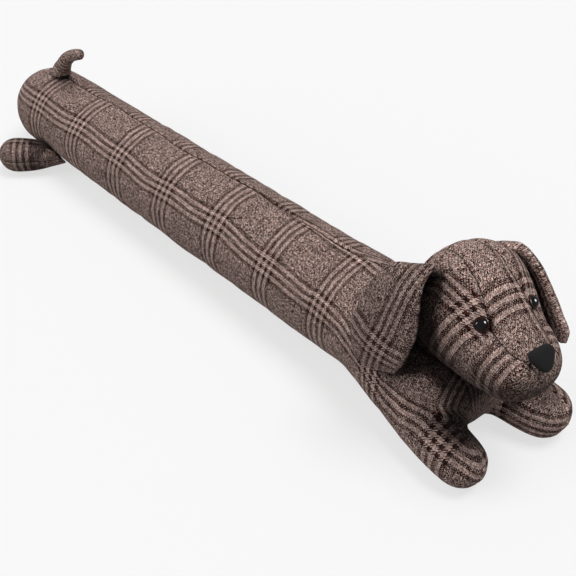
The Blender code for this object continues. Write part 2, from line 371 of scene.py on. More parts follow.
def woolMaterial():
    material, tree, shader = newMaterial("Checked wool")
    cloth = addNode(tree, "UVMap", {"uv_map": "Cloth"}, {})[0]

    # Noise on the cloth, its grain so many millimetres long in each direction
    def speckle(detail, wide, high):
        stretch = (1000 / wide, 1000 / high, 1)
        place = addNode(tree, "VectorMath", times, {0: cloth, 1: stretch})[0]
        return addNode(tree, "TexNoise", {}, {"Vector": place, "Scale": 1.0, "Detail": detail})

    # The yarns wander, gently over 10 mm and a little over 2 mm
    moved = cloth
    for size, amount in wool["wander"]:
        wander = speckle(2.0, size, size)["Color"]
        offset = addNode(tree, "VectorMath", minus, {0: wander, 1: (0.5, 0.5, 0.5)})[0]
        moved = addNode(tree, "VectorMath", timesPlus, {0: offset, 1: (amount, amount, 0.0), 2: moved})[0]
    split = addNode(tree, "SeparateXYZ", {}, {0: moved})

    # Number of the yarn, 1 in a check band, and 1 where that yarn is dark
    def yarns(place, thread, repeat):
        half = wool["bandThreads"] / 2 * thread
        stripe = wool["stripeThreads"] * thread
        counted = addNode(tree, "Math", over, {0: place, 1: thread})[0]
        number = addNode(tree, "Math", rounded, {0: counted})[0]
        inRepeat = addNode(tree, "Math", {"operation": "WRAP"}, {0: place, 1: repeat / 2, 2: -repeat / 2})[0]
        fromMiddle = addNode(tree, "Math", positive, {0: inRepeat})[0]
        inBand = addNode(tree, "Math", below, {0: fromMiddle, 1: half})[0]
        fromEdge = addNode(tree, "Math", plus, {0: inRepeat, 1: half})[0]
        counted = addNode(tree, "Math", over, {0: fromEdge, 1: stripe})[0]
        wide = addNode(tree, "Math", rounded, {0: counted})[0]
        wideTurn = addNode(tree, "Math", remainder, {0: wide, 1: 2.0})[0]
        wideDark = addNode(tree, "Math", below, {0: wideTurn, 1: 0.5})[0]
        fineTurn = addNode(tree, "Math", remainder, {0: number, 1: 2.0})[0]
        fineDark = addNode(tree, "Math", below, {0: fineTurn, 1: 0.5})[0]
        yarnDark = addNode(tree, "Mix", numbers, {0: inBand, 2: fineDark, 3: wideDark})[0]
        return number, inBand, yarnDark

    ringNumber, ringBand, ringDark = yarns(split[0], wool["thread"], wool["repeat"])
    longNumber, longBand, longDark = yarns(split[1], wool["acrossThread"], wool["acrossRepeat"])
    # Twill: each yarn passes over two and under two, one further on in each row.
    # Where a band crosses plain cloth its own yarns pass over three.
    diagonal = addNode(tree, "Math", plus, {0: ringNumber, 1: longNumber})[0]
    bandsApart = addNode(tree, "Math", minus, {0: ringBand, 1: longBand})[0]
    passesOver = addNode(tree, "Math", plus, {0: bandsApart, 1: 2.0})[0]
    turn = addNode(tree, "Math", remainder, {0: diagonal, 1: 4.0})[0]
    ringOnTop = addNode(tree, "Math", below, {0: turn, 1: passesOver})[0]
    dark = addNode(tree, "Mix", numbers, {0: ringOnTop, 2: longDark, 3: ringDark})[0]
    # Each stitch is a little lighter or darker than the next
    shifted = addNode(tree, "Math", minus, {0: diagonal, 1: 2.0})[0]
    counted = addNode(tree, "Math", over, {0: shifted, 1: 4.0})[0]
    stitch = addNode(tree, "Math", rounded, {0: counted})[0]
    yarn = addNode(tree, "Mix", numbers, {0: ringOnTop, 2: longNumber, 3: ringNumber})[0]
    ownStitch = addNode(tree, "CombineXYZ", {}, {0: yarn, 1: stitch, 2: ringOnTop})[0]
    chance = addNode(tree, "TexWhiteNoise", {"noise_dimensions": "3D"}, {"Vector": ownStitch})[0]

    # The yarns are spun of light and dark hairs
    hairWide, hairLong = wool["hairSize"]
    alongRing = speckle(3.0, hairWide, hairLong)[0]
    alongLong = speckle(3.0, hairLong, hairWide)[0]
    hairs = addNode(tree, "Math", plus, {0: alongLong, 1: alongRing})[0]
    hairs = addNode(tree, "Math", times, {0: hairs, 1: 0.5})[0]
    warmth = speckle(2.0, wool["warmthSize"], wool["warmthSize"])[0]
    warmDark = addNode(tree, "MapRange", smooth, {0: warmth, 1: 0.52, 2: 0.64, 3: 0.0, 4: 1.0})[0]
    warmLight = addNode(tree, "MapRange", smooth, {0: warmth, 1: 0.40, 2: 0.60, 3: 1.0, 4: 0.0})[0]
    shades = {0: warmDark, 6: fromHex(wool["dark"]), 7: fromHex(wool["darkWarm"])}
    darkYarn = addNode(tree, "Mix", colours, shades)[2]
    shades = {0: warmLight, 6: fromHex(wool["lightGrey"]), 7: fromHex(wool["light"])}
    lightYarn = addNode(tree, "Mix", colours, shades)[2]
    byStitch = addNode(tree, "MapRange", smooth, {0: chance, 1: 0.0, 2: 1.0, 3: -1.20, 4: 1.20})[0]
    byHair = addNode(tree, "MapRange", smooth, {0: hairs, 1: 0.39, 2: 0.61, 3: 0.36, 4: -0.36})[0]
    uneven = addNode(tree, "Math", plus, {0: byStitch, 1: byHair})[0]
    # The yarns of one colour lie side by side in the bands, so the bands are calmer,
    # and clearest where two cross
    both = addNode(tree, "Math", times, {0: ringBand, 1: longBand})[0]
    anyBand = addNode(tree, "Math", {"operation": "MAXIMUM"}, {0: ringBand, 1: longBand})[0]
    single = addNode(tree, "Math", minus, {0: anyBand, 1: both})[0]
    calm = addNode(tree, "Math", timesPlus, {0: both, 1: -0.70, 2: 1.0})[0]
    calm = addNode(tree, "Math", timesPlus, {0: single, 1: -0.52, 2: calm})[0]
    contrast = addNode(tree, "Math", timesPlus, {0: single, 1: -0.22, 2: 1.45})[0]
    centred = addNode(tree, "Math", minus, {0: dark, 1: 0.5})[0]
    plain = addNode(tree, "Math", timesPlus, {0: centred, 1: contrast, 2: 0.5})[0]
    mixed = addNode(tree, "Math", timesPlus, {0: uneven, 1: calm, 2: plain})[0]
    mixed = addNode(tree, "Clamp", {}, {0: mixed})[0]
    colour = addNode(tree, "Mix", colours, {0: mixed, 6: lightYarn, 7: darkYarn})[2]

    # Slubs are thicker and thinner stretches of yarn
    streakLong, streakWide = wool["streakSize"]
    lengthwise = speckle(2.0, streakLong, streakWide)[0]
    around = speckle(2.0, streakWide, streakLong)[0]
    streaks = addNode(tree, "Math", plus, {0: lengthwise, 1: around})[0]
    slubs = addNode(tree, "MapRange", smooth, {0: streaks, 1: 0.78, 2: 1.22, 3: 0.62, 4: 1.36})[0]
    # Painted shade and light: the colour is darkened where the cloth lies deep between head, ears and legs,
    # and made pale on a turned-out edge.
    # Part of this is given piece by piece.
    paintedShading = addNode(tree, "Attribute", {"attribute_name": "paintedShading"}, {})["Fac"]
    darker = addNode(tree, "MapRange", smooth, {0: paintedShading, 1: 0.05, 2: 0.48, 3: 1.0, 4: 0.13})[0]
    paler = addNode(tree, "MapRange", smooth, {0: paintedShading, 1: -0.50, 2: 0.0, 3: 2.2, 4: 1.0})[0]
    # Beside the spine seam the folded edges under the cloth make a thin ridge; its light is painted
    # into the colour as a pale line, a painted highlight
    ridge = addNode(tree, "Attribute", {"attribute_name": "ridge"}, {})["Fac"]
    ridge = addNode(tree, "Math", minus, {0: ridge, 1: wool["ridgeAway"]})[0]
    ridge = addNode(tree, "Math", positive, {0: ridge})[0]
    ridge = addNode(tree, "MapRange", smooth, {0: ridge, 1: 0.0005, 2: 0.0019, 3: 1.0, 4: 0.0})[0]
    ridgeHighlight = addNode(tree, "Math", timesPlus, {0: ridge, 1: 0.85, 2: 1.0})[0]
    # The slubs are the yarn's own; the other two are the painted shade and the painted light
    for level in (slubs, darker, paler):
        colour = addNode(tree, "VectorMath", scaled, {0: colour, "Scale": level})[0]
    # A seam is a thin dark line where two panels are drawn together
    seam = addNode(tree, "Attribute", {"attribute_name": "seam"}, {})["Fac"]
    seam = addNode(tree, "MapRange", smooth, {0: seam, 1: 0.0003, 2: 0.0014, 3: 0.75, 4: 0.0})[0]
    colour = addNode(tree, "Mix", colours, {0: seam, 6: colour, 7: fromHex(wool["seam"])})[2]
    # The painted highlight along the ridge
    colour = addNode(tree, "VectorMath", scaled, {0: colour, "Scale": ridgeHighlight})[0]
    tree.links.new(colour, shader.inputs["Base Color"])

    # Rounded yarns and loose hairs
    rounds = []
    for place, thread in ((split[0], wool["thread"]), (split[1], wool["acrossThread"])):
        wave = addNode(tree, "Math", times, {0: place, 1: math.pi / thread})[0]
        wave = addNode(tree, "Math", {"operation": "SINE"}, {0: wave})[0]
        rounds.append(addNode(tree, "Math", positive, {0: wave})[0])
    top = addNode(tree, "Mix", numbers, {0: ringOnTop, 2: rounds[1], 3: rounds[0]})[0]
    relief = addNode(tree, "Math", timesPlus, {0: hairs, 1: 0.8, 2: top})[0]
    bump = addNode(tree, "Bump", {}, {"Strength": 0.6, "Distance": 0.0006, "Height": relief})[0]
    tree.links.new(bump, shader.inputs["Normal"])
    shader.inputs["Roughness"].default_value = 0.95
    shader.inputs["Specular IOR Level"].default_value = 0.05
    shader.inputs["Sheen Weight"].default_value = 0.10
    shader.inputs["Sheen Roughness"].default_value = 0.40
    shader.inputs["Sheen Tint"].default_value = fromHex(wool["bloom"])
    return material


woolCloth = woolMaterial()
# The middle of a plain square, where a small piece shows no band
plainAlong = wool["repeat"] / 2
plainAcross = wool["acrossRepeat"] / 2

# Body with both forelegs: one skin of two long panels, sewn along the spine and the belly
body = {
    "seamTurn": 80.0,
    "rings": (0.055, 0.150, 0.253, 0.355, 0.458, 0.557, 0.653, 0.742, 0.8515, 0.965),
    "bandX": (-0.035, 0.0, 0.290, 0.450, 0.550, 0.642, 0.690, 0.710,
              0.740, 0.762, 0.780, 0.800, 0.816, 0.850, 0.871),
    "bandArc": (0.060, 0.060, 0.066, 0.070, 0.075, 0.080, 0.094, 0.104,
                0.120, 0.1335, 0.1345, 0.1335, 0.130, 0.130, 0.133),
    "pawFrom": 0.79,
    "seamDepth": 0.0022,
    "seamWidth": 0.0024,
    "pawSeamDepth": 0.0014,
    "puckerEvery": 0.0165,
}
# Forelegs: rows of place, sideways, height and radius. Angles are in degrees from the top: where the outer
# and the inner panel face, and where the check band runs on the inner one. lean is the lean of the seam
# between them, and the shifts slide the check along.
forelegs = (
    {
        "side": -1, "panels": (0, 2), "facing": 73, "lean": -0.30, "outerShift": 0.0,
        "innerFacing": 253, "innerBand": 270, "innerShift": 0.036,
        "rows": ((0.640, 0.018, 0.050, 0.036), (0.710, 0.031, 0.046, 0.036), (0.790, 0.050, 0.039, 0.034),
                 (0.838, 0.0615, 0.033, 0.0315), (0.872, 0.0655, 0.0285, 0.0295)),
    },
    {
        "side": 1, "panels": (1, 3), "facing": 97, "lean": 0.12, "outerShift": 0.0835,
        "innerFacing": -80.6, "innerBand": -80.6, "innerShift": 0.006,
        "rows": ((0.640, 0.018, 0.050, 0.036), (0.710, 0.028, 0.046, 0.037), (0.800, 0.041, 0.039, 0.037),
                 (0.848, 0.0505, 0.0335, 0.035), (0.887, 0.0570, 0.0290, 0.0330)),
    },
)
# Where the band runs on the outer panel: place and degrees
bandOnLeg = ((0.740, 0.751, 0.762, 0.772, 0.782, 0.792, 0.802, 0.815, 0.826, 0.840, 0.862, 0.874),
             (47.0, 52.0, 57.0, 58.0, 57.0, 56.0, 51.0, 42.0, 37.0, 34.0, 30.0, 27.0))


def bodyRadius(x):
    share = np.minimum(np.abs(x - 0.745) / 0.120, 1)
    return 0.0595 + 0.0114 * x + 0.0035 * np.cos(math.pi / 2 * share) ** 2


# How far round from the spine seam each point is, in radians, positive to the dog's right.
def bodyTurn(where):
    x = where[:, 0] - hips
    height = bodyRadius(x) - 0.002
    turn = np.arctan2(where[:, 2] - height, where[:, 1]) - math.radians(body["seamTurn"])
    turn -= 0.035 * np.sin(x * 24) + 0.02 * np.sin(x * 61 + 1)
    return (turn + math.pi) % (2 * math.pi) - math.pi


# Outward, up and ahead of the foreleg's axis, its radius, and 1 where the skin is the leg's rather than the
# tube's.
def legPlace(where, leg):
    rows = np.array(leg["rows"])
    x = where[:, 0] - hips
    sideways, height, radius = [np.interp(x, rows[:, 0], rows[:, i]) for i in (1, 2, 3)]
    across = leg["side"] * where[:, 1] - sideways
    up = where[:, 2] - height
    past = np.maximum(x - rows[-1, 0], 0)
    full = bodyRadius(x)
    chest = np.maximum(x - 0.790, 0) * full / 0.065
    out = np.sqrt(where[:, 1] ** 2 + (where[:, 2] - full + 0.002) ** 2 + chest ** 2) - full
    reach = np.sqrt(across ** 2 + up ** 2 + past ** 2)
    onLeg = step(-0.008, 0.010, out - (reach - radius)) * (leg["side"] * where[:, 1] > 0) * (x > 0.70)
    return across, up, past, radius, np.where(x > 0.70, onLeg, 0)


# For the half of the leg that faces so many degrees from the top: the arc round it and the run over its
# end.
def legArc(place, facing):
    across, up, past, radius, _ = place
    middle = math.radians(facing)
    reach = np.maximum(np.sqrt(across ** 2 + up ** 2 + past ** 2), 0.001)
    ahead = across * math.sin(middle) + up * math.cos(middle)
    beside = (across * math.cos(middle) - up * math.sin(middle)) / reach
    arc = radius * (np.arcsin(np.clip(beside, -1, 1)) + middle)
    return arc, radius * np.arctan2(past, np.maximum(ahead, 0.001))


def bodyPanel(middles):
    panels = (bodyTurn(middles) < 0).astype(int)
    for leg in forelegs:
        across, up, _, _, onLeg = legPlace(middles, leg)
        near = (onLeg > 0.5) & (middles[:, 0] - hips > body["pawFrom"])
        panels = np.where(near, leg["panels"][0], panels)
        panels = np.where(near & (across < leg["lean"] * up), leg["panels"][1], panels)
    return panels


# Signed distance from the seam round each foreleg.
def legSeam(where):
    result = np.full(len(where), 0.05)
    for leg in forelegs:
        across, up, _, _, onLeg = legPlace(where, leg)
        near = (onLeg > 0.5) & (where[:, 0] - hips > body["pawFrom"])
        result = np.where(near, (across - leg["lean"] * up) / math.hypot(1, leg["lean"]), result)
    return result


def bodyChart(where, panels, middles):
    x = where[:, 0] - hips
    full = bodyRadius(x)
    height = full - 0.002
    turn = bodyTurn(where)
    facing = bodyTurn(middles)
    turn = np.where(turn - facing > math.pi, turn - 2 * math.pi, turn)
    turn = np.where(facing - turn > math.pi, turn + 2 * math.pi, turn)
    out = np.hypot(where[:, 1], where[:, 2] - height)
    arc = full * turn
    # Over the round front the cloth goes on straight rather than to a point
    capShare = np.clip(1 - out / full, 0, 1)
    inEnd = step(0.794, 0.854, x)
    straight = -(where[:, 1] - 0.010)
    arc = arc + (straight - arc) * inEnd * step(0.0, 0.9, capShare) * (np.abs(turn) < 2.2)
    phases = [wool["repeat"] * i for i in range(len(body["rings"]))]
    ringX = np.interp(x, body["rings"], phases)
    ringX = np.where(x < body["rings"][0], x - body["rings"][0], ringX)
    lengthwise = ringX + np.maximum(full - out, 0) * 0.8 * step(0.79, 0.83, x) * (out < full)
    # Each panel runs on round the rear end, level, to the seam
    past = 1.6 * np.maximum(-x, 0)
    reach = np.maximum(np.sqrt(where[:, 1] ** 2 + (where[:, 2] - height) ** 2 + past ** 2), 0.001)
    rise = np.arcsin(np.clip((where[:, 2] - height) / reach, -1, 1))
    seamTurn = math.radians(body["seamTurn"])
    around = full * np.where(panels % 2 == 0, math.pi - seamTurn - rise, rise - seamTurn)
    behind = step(0.012, -0.006, x)
    arc = arc + (around - arc) * behind
    atEnd = np.interp(0, body["rings"], phases) - body["rings"][0]
    onBehind = atEnd - 0.048 * np.arctan2(past, np.abs(where[:, 1]) + 0.0001)
    lengthwise = lengthwise + (onBehind - lengthwise) * behind
    band = np.interp(x, body["bandX"], body["bandArc"])
    u = np.where(panels % 2 == 0, lengthwise, lengthwise - 0.060)
    v = np.where(panels % 2 == 0, arc - band, -arc - band)
    for leg in forelegs:
        place = legPlace(where, leg)
        radius, onLeg = place[3], place[4]
        end = leg["rows"][-1][0]
        start = np.interp(np.minimum(x, end), body["rings"], phases)
        arcOut, overOut = legArc(place, leg["facing"])
        arcIn, overIn = legArc(place, leg["innerFacing"])
        outer = 0.87 * (arcOut - radius * np.radians(np.interp(x, *bandOnLeg))) - 12.0 * place[2] ** 2
        share = onLeg * (panels == leg["panels"][0])
        u = u + (start + 0.85 * overOut - leg["outerShift"] - u) * share
        v = v + (outer - v) * share
        inner = panels == leg["panels"][1]
        u = np.where(inner, start + 0.85 * overIn + leg["innerShift"], u)
        v = np.where(inner, 0.87 * (arcIn - radius * math.radians(leg["innerBand"])), v)
    return np.stack([u, v], axis=1)


bodySkin = copyOf("dogBody", "body", woolCloth)
remeshed(bodySkin, 0.0052, 6)
where = points(bodySkin)
turn = bodyTurn(where)
held = np.maximum(np.exp(-(np.abs(turn) * 0.065 / 0.004) ** 2), step(0.004, 0.001, where[:, 2]))
filled(bodySkin, held, 4.0, 0.004, 0.003)
finer(bodySkin)
cutAlong(bodySkin, bodyTurn, 0.5)
cutAlong(bodySkin, legSeam, 0.02)
print("Body cloth filled:", len(bodySkin.data.polygons), "faces")

where = points(bodySkin)
outward = normals(bodySkin)
turn = bodyTurn(where)
full = bodyRadius(where[:, 0] - hips)
onTube = step(0.012, 0.004, np.abs(np.hypot(where[:, 1], where[:, 2] - full + 0.002) - full))
spine = np.abs(turn) * full + (1 - onTube) * 0.05
spine = np.where(where[:, 2] < 0.09, 0.05, spine)
along = where[:, 0]
pucker = np.sin(along * 2 * math.pi / body["puckerEvery"] + 2.5 * np.sin(along * 31))
pucker = pucker * (0.5 + 0.5 * np.sin(along * 47))
# The groove of the spine seam, and the low swell of cloth beside it
depth = body["seamDepth"] * np.exp(-(spine / body["seamWidth"]) ** 2)
depth = depth - 0.0007 * np.exp(-((spine - 0.0055) / 0.0035) ** 2)
depth = depth + 0.0005 * np.exp(-(spine / 0.009) ** 2) * pucker
soft = 0.0010 * lumps(where, 0.045, 1) + 0.0005 * lumps(where, 0.018, 2)
legLine = np.abs(legSeam(where))
depth = depth + body["pawSeamDepth"] * np.exp(-(legLine / 0.0022) ** 2)
placed(bodySkin, where + outward * (soft * step(0.001, 0.012, where[:, 2]) - depth)[:, None])
marked(bodySkin, "ridge", np.sign(turn) * np.minimum(spine, 0.05))
# Painted shade, given by place: more of it up on the chest, less low down and behind,
# and more painted shade on the near side of the chest
shadeStrength = np.interp(where[:, 2], (0.050, 0.085), (0.60, 1.10)) * np.where(where[:, 0] < 0, 0.5, 1.0)
closer = 0.12 * step(0.26, 0.34, where[:, 0]) * step(0.02, -0.02, where[:, 1])
seams = np.minimum(spine * 0.6, legLine + 0.0004)
covered(bodySkin, bodyPanel, bodyChart, seams, shadeStrength=shadeStrength, closer=closer)

# Head: two side panels, a gusset from the crown to the nose and a round panel at the back
head = {
    "backPanel": -0.042,
    # Ahead, half width, half height and rise of each cross-section
    "sections": (
        (-0.060, 0.019, 0.018, -0.004), (-0.050, 0.041, 0.040, -0.003), (-0.030, 0.059, 0.059, -0.001),
        (0.000, 0.065, 0.067, 0.000), (0.027, 0.060, 0.063, -0.007), (0.050, 0.052, 0.054, -0.015),
        (0.072, 0.045, 0.045, -0.020), (0.091, 0.0385, 0.038, -0.020), (0.104, 0.031, 0.029, -0.018),
        (0.110, 0.021, 0.019, -0.017),
    ),
    # Lengths along the head are counted from this section
    "countFrom": 4,
    "seamAhead": (-0.065, -0.050, -0.030, 0.003, 0.024, 0.039, 0.050, 0.058,
                  0.063, 0.071, 0.084, 0.092, 0.0985, 0.103, 0.112),
    "seamArc": (0.003, 0.009, 0.015, 0.0200, 0.0205, 0.0234, 0.0275, 0.0300,
                0.0307, 0.0290, 0.0278, 0.0245, 0.0195, 0.0150, 0.010),
    "muzzleFrom": 0.062,
    "bluntFrom": 0.0985,
    # Dents and swells on both sides: ahead, round from the crown, how far out, and how wide
    "forms": ((0.0575, 0.031, -0.0024, 0.0060), (0.0500, 0.0430, -0.0022, 0.012),
              (0.080, 0.055, 0.0022, 0.018), (0.036, 0.036, 0.0014, 0.011)),
}
headBack = Matrix.Rotation(-headTurn, 4, "Z") @ Matrix.Translation(-headMiddle)


def headLocal(where):
    turned = np.array(headBack)
    return where @ turned[:3, :3].T + turned[:3, 3]


# How far ahead each point is, how far round from the crown in metres, positive to the dog's right, and how
# far round in radians.
def headPlace(where):
    local = headLocal(where)
    table = np.array(head["sections"])
    wide, high, rise = [np.interp(local[:, 0], table[:, 0], table[:, i]) for i in (1, 2, 3)]
    turn = np.arctan2(-local[:, 1], local[:, 2] - rise)
    return local[:, 0], turn * (wide + high) / 2, turn


# Signed distance round the head from the right seam of the gusset.
def headSeam(where):
    ahead, arc, _ = headPlace(where)
    return np.abs(arc) - np.interp(ahead, head["seamAhead"], head["seamArc"])


def headPanel(middles):
    ahead, arc, _ = headPlace(middles)
    seam = np.interp(ahead, head["seamAhead"], head["seamArc"])
    side = np.where(arc > seam, 1, np.where(arc < -seam, 2, 0))
    side = side + np.where((side > 0) & (ahead > head["muzzleFrom"]), 2, 0)
    side = np.where(ahead < head["backPanel"], 6, side)
    return np.where(ahead > head["bluntFrom"], 5, side)


def headChart(where, panels, middles):
    ahead, arc, turn = headPlace(where)
    _, _, middleTurn = headPlace(middles)
    radius = np.where(np.abs(turn) > 0.01, arc / np.where(np.abs(turn) > 0.01, turn, 1), 0.05)
    arc = np.where(turn - middleTurn > math.pi, arc - 2 * math.pi * radius, arc)
    arc = np.where(middleTurn - turn > math.pi, arc + 2 * math.pi * radius, arc)
    table = np.array(head["sections"])
    radii = (table[:, 1] + table[:, 2]) / 2
    steps = np.hypot(np.diff(table[:, 0]), np.diff(radii))
    start = head["countFrom"]
    lengths = np.concatenate([[0], np.cumsum(steps)])
    lengths = lengths - lengths[start] + table[start, 0]
    run = np.interp(ahead, table[:, 0], lengths)
    run = run + np.maximum(ahead - 0.110, 0)
    side = np.abs(arc)
    band = 0.052 - 0.30 * np.clip(ahead, -0.06, 0.06)
    u = np.select(
        [panels == 0, (panels == 1) | (panels == 2), panels > 2],
        [run - 0.049, run - 0.0405 + 0.24 * (side - 0.050), run - 0.0880 + 0.12 * (side - 0.045)],
    )
    v = np.where(panels == 0, arc + 0.0260, side - band + np.where(panels > 2, 0.030, 0))
    # The blunt front of the muzzle and the round back are plain cloth, laid on flat
    local = headLocal(where)
    u = np.where(panels == 5, plainAlong + local[:, 2] + 0.018, u)
    v = np.where(panels == 5, plainAcross + 0.85 * local[:, 1], v)
    u = np.where(panels == 6, plainAlong + local[:, 2], u)
    v = np.where(panels == 6, plainAcross + local[:, 1], v)
    return np.stack([u, v], axis=1)


headSkin = copyOf("dogHead", "head", woolCloth)
remeshed(headSkin, 0.0038, 7)
where = points(headSkin)
held = np.exp(-(headSeam(where) / 0.003) ** 2)
filled(headSkin, held, 4.0, 0.004, 0.0025)
finer(headSkin)
cutAlong(headSkin, headSeam, 0.02)
cutAlong(headSkin, lambda where: headPlace(where)[0] - head["backPanel"], 0.02)
where = points(headSkin)
outward = normals(headSkin)
ahead, arc, _ = headPlace(where)
gusset = np.abs(headSeam(where)) + step(0.100, 0.108, ahead) * 0.004
gusset = np.where(ahead < head["backPanel"], 0.05, gusset)
gusset = np.minimum(gusset, np.abs(ahead - head["backPanel"]))
shape = np.zeros(len(where))
shape -= 0.0016 * np.exp(-(gusset / 0.0028) ** 2) + 0.0010 * np.exp(-(gusset / 0.008) ** 2)
for side in (-1, 1):
    # Corner of the eye, its socket, the cheek and the brow
    for formAhead, formArc, amount, width in head["forms"]:
        away = np.hypot(ahead - formAhead, side * arc - formArc)
        shape += amount * np.exp(-(away / width) ** 2)
shape += 0.0008 * lumps(where, 0.035, 3) + 0.0004 * lumps(where, 0.014, 4)
placed(headSkin, where + outward * shape[:, None])
# Painted shade towards the chin, and painted light on the crown
closer = 0.34 * step(0.195, 0.140, where[:, 2]) - 0.12 * step(0.200, 0.230, where[:, 2])
covered(headSkin, headPanel, headChart, gusset, closer=closer)
print("Head cloth filled:", len(headSkin.data.polygons), "faces")

# Ears: two layers of the same cloth, turned and pressed at the edge
ears = {
    "right": ((0.799, 0.040, 0.223, 0.764, 0.037, 0.205), (0.801, 0.055, 0.246, 0.745, 0.050, 0.213),
              (0.803, 0.071, 0.240, 0.729, 0.054, 0.192), (0.806, 0.079, 0.223, 0.721, 0.060, 0.169),
              (0.810, 0.082, 0.190, 0.714, 0.068, 0.135), (0.807, 0.082, 0.165, 0.717, 0.075, 0.112),
              (0.798, 0.081, 0.132, 0.731, 0.079, 0.093), (0.786, 0.080, 0.106, 0.754, 0.080, 0.090)),
    "left": ((0.819, 0.040, 0.223, 0.784, 0.044, 0.200), (0.823, 0.055, 0.224, 0.776, 0.058, 0.193),
             (0.838, 0.067, 0.205, 0.772, 0.070, 0.178), (0.850, 0.074, 0.184, 0.773, 0.082, 0.163),
             (0.862, 0.077, 0.163, 0.780, 0.087, 0.137), (0.874, 0.079, 0.143, 0.793, 0.090, 0.116),
             (0.884, 0.080, 0.127, 0.818, 0.090, 0.099), (0.883, 0.080, 0.111, 0.852, 0.086, 0.098)),
    "bandZ": (0.090, 0.130, 0.166, 0.205, 0.229, 0.244),
    "bandX": (0.752, 0.762, 0.773, 0.782, 0.786, 0.790),
}


def earEdge(name, side):
    rows = ears[name]
    front = [(x + hips, side * y, z) for x, y, z, _, _, _ in rows]
    back = [(x + hips, side * y, z) for _, _, _, x, y, z in reversed(rows)]
    return front + back


# Runs up to 1, back to -1 and up again.
def foldBack(value):
    return 1 - np.abs((value + 1) % 4 - 2)


def earChart(where, panels, middles):
    x = where[:, 0] - hips
    y = np.abs(where[:, 1])
    z = where[:, 2]
    v = x - np.interp(z, ears["bandZ"], ears["bandX"])
    u = 0.133 - z
    u = np.where(u < 0, u * 0.70, u) - 0.3 * np.maximum(0, 0.079 - y)
    # The turned edge is cut where the cloth is plain
    u = np.where(panels == 1, plainAlong + 0.030 * foldBack((z - 0.165) / 0.030), u)
    v = np.where(panels == 1, plainAcross + 0.022 * foldBack(v / 0.022), v)
    return np.stack([u, v], axis=1)


for name, side in (("right", -1), ("left", 1)):
    flap = copyOf("dogEar_" + name, "ear_" + name, woolCloth)
    remeshed(flap, 0.0026, 4)
    filled(flap, np.zeros(len(flap.data.vertices)), 3.0, 0.0, 0.0012)
    finer(flap)
    where = points(flap)
    outward = normals(flap)
    edgeLine = earEdge(name, side)
    frontLine = edgeLine[:len(ears[name])]
    distance, _ = nearLine(where, edgeLine)
    flank = np.abs(outward[:, 1])
    shape = 0.0006 * lumps(where, 0.020, 5) - 0.0006 * np.exp(-((distance - 0.006) / 0.002) ** 2)
    if side > 0:
        # The far ear is cupped: a thick front edge round a hollow
        front, _ = nearLine(where, frontLine)
        inside = step(0.0, 0.6, -outward[:, 1])
        shape += inside * 0.0036 * np.exp(-((front - 0.009) / 0.008) ** 2)
        shape -= inside * 0.0030 * step(0.018, 0.028, front)
    placed(flap, where + outward * shape[:, None])
    rim = 0.0006 + np.abs(distance - 0.0018) * 0.7 + 0.003 * flank ** 2
    if side > 0:
        rim = np.where(inside > 0.5, np.minimum(rim, 0.0002 + 0.5 * np.abs(front - 0.0085)), rim)
    # Painted light on the far ear's thick edge, where no shade is painted, and more painted shade on the
    # near ear
    shadeStrength = step(0.012, 0.030, front) if side > 0 else 1.0
    closer = -0.45 * inside * step(0.019, 0.010, front) if side > 0 else 0.20
    turnedEdge = 0.013 if side > 0 else 0.007

    def earPanel(middles):
        return (nearLine(middles, frontLine)[0] < turnedEdge).astype(int)

    covered(flap, earPanel, earChart, rim, 0.05, shadeStrength, closer)
    sewnOn(flap, "ear_" + name)
print("Ears filled")

# Hind legs and tail
hindLegs = {
    "hind_leg_right": {"hip": (0.104, -0.036), "foot": (0.047, -0.0945), "checkAt": 0.070, "aside": 0.008},
    "hind_leg_left": {"hip": (0.106, 0.034), "foot": (0.030, 0.066), "checkAt": 0.05246, "aside": 0.0},
}
legRadius = 0.024
legHeight = 0.026
for node, plan in hindLegs.items():
    leg = copyOf("dog_" + node, node, woolCloth)
    remeshed(leg, 0.0032, 4)
    filled(leg, np.zeros(len(leg.data.vertices)), 3.0, 0.0, 0.0012)
    finer(leg)
    where = points(leg)
    start = np.array(plan["hip"]) + (hips, 0)
    way = np.array(plan["foot"]) + (hips, 0) - start
    length = np.linalg.norm(way)
    way = way / length
    side = np.array((-way[1], way[0]))

    def legSkin(where, panels, middles):
        flat = where[:, :2] - start
        across = flat @ side
        up = where[:, 2] - legHeight
        past = np.maximum(flat @ way - length, 0)
        reach = np.maximum(np.sqrt(across ** 2 + up ** 2 + past ** 2), 0.001)
        u = np.minimum(flat @ way, length) + legRadius * np.arctan2(past, np.abs(up) + 0.0001)
        v = legRadius * np.arcsin(np.clip(across / reach, -1, 1))
        return np.stack([u - plan["checkAt"], v + plan["aside"]], axis=1)

    flat = where[:, :2] - start
    turn = np.arctan2(flat @ side, where[:, 2] - legHeight)
    seam = np.abs(turn - math.radians(85)) * legRadius
    outward = normals(leg)
    shape = 0.0006 * lumps(where, 0.018, 6) - 0.0010 * np.exp(-(seam / 0.003) ** 2)
    placed(leg, where + outward * shape[:, None])
    # More painted shade on the hind legs
    covered(leg, onePanel, legSkin, seam, closer=0.17)
    sewnOn(leg, node)

